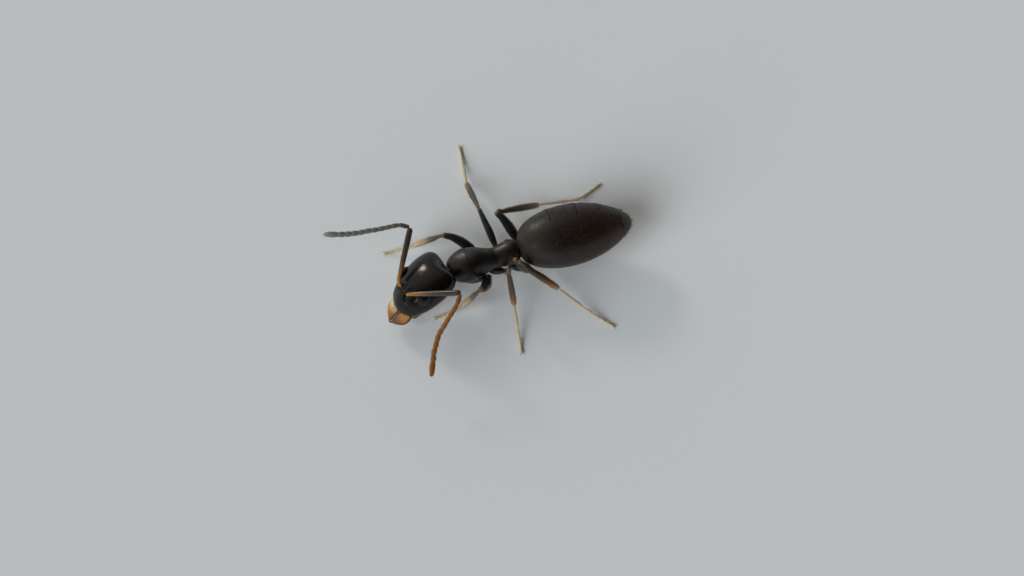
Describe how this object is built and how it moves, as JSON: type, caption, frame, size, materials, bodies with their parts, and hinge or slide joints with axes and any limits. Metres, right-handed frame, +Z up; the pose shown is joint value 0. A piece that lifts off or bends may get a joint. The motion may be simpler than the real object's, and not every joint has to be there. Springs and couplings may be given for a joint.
{
  "type": "ant",
  "caption": "Life-size worker ant, a small black house ant with pale feet, standing with its antennae raised.",
  "frame": {"origin": "on the floor under the middle of the whole ant's box, feelers and feet counted", "axes": "+Y runs from head to tail along the trunk, +X is the ant's left side, +Z is up; metres"},
  "size_m": [0.0026, 0.0032, 0.0008],
  "materials": {
    "black_cuticle": "insect cuticle, near black, smooth and glossy over a fine net of microsculpture",
    "dark_brown_cuticle": "insect cuticle, dark brown, satin under short pale hairs",
    "brown_cuticle": "insect cuticle, brown, thin and slightly translucent",
    "orange_cuticle": "insect cuticle, orange brown and translucent, glossy",
    "pale_cuticle": "insect cuticle, yellowish white, thin and translucent, finely haired",
    "eye": "compound eye, black, with small domed facets",
    "hair": "fine pale hairs"
  },
  "bodies": {
    "root": {"coxa_front_left": "dark_brown_cuticle", "coxa_front_right": "dark_brown_cuticle", "coxa_hind_left": "dark_brown_cuticle", "coxa_hind_right": "dark_brown_cuticle", "coxa_middle_left": "dark_brown_cuticle", "coxa_middle_right": "dark_brown_cuticle", "eye_left": "eye", "eye_right": "eye", "femur_front_left": "black_cuticle", "femur_front_right": "black_cuticle", "femur_hind_left": "black_cuticle", "femur_hind_right": "black_cuticle", "femur_middle_left": "black_cuticle", "femur_middle_right": "black_cuticle", "funiculus_left": "brown_cuticle", "funiculus_right": "brown_cuticle", "gaster_segment_1": "dark_brown_cuticle", "gaster_segment_2": "dark_brown_cuticle", "gaster_segment_3": "dark_brown_cuticle", "gaster_segment_4": "dark_brown_cuticle", "gaster_segment_5": "dark_brown_cuticle", "head": "black_cuticle", "labial_palp_left": "brown_cuticle", "labial_palp_right": "brown_cuticle", "mandible_left": "orange_cuticle", "mandible_right": "orange_cuticle", "maxillary_palp_left": "brown_cuticle", "maxillary_palp_right": "brown_cuticle", "mesothorax": "black_cuticle", "neck": "black_cuticle", "petiole": "dark_brown_cuticle", "pronotum": "black_cuticle", "propodeum": "black_cuticle", "scape_left": "brown_cuticle", "scape_right": "brown_cuticle", "tarsus_front_left": "pale_cuticle", "tarsus_front_right": "pale_cuticle", "tarsus_hind_left": "pale_cuticle", "tarsus_hind_right": "pale_cuticle", "tarsus_middle_left": "pale_cuticle", "tarsus_middle_right": "pale_cuticle", "tibia_front_left": "brown_cuticle", "tibia_front_right": "brown_cuticle", "tibia_hind_left": "brown_cuticle", "tibia_hind_right": "brown_cuticle", "tibia_middle_left": "brown_cuticle", "tibia_middle_right": "brown_cuticle"}
  },
  "joints": []
}
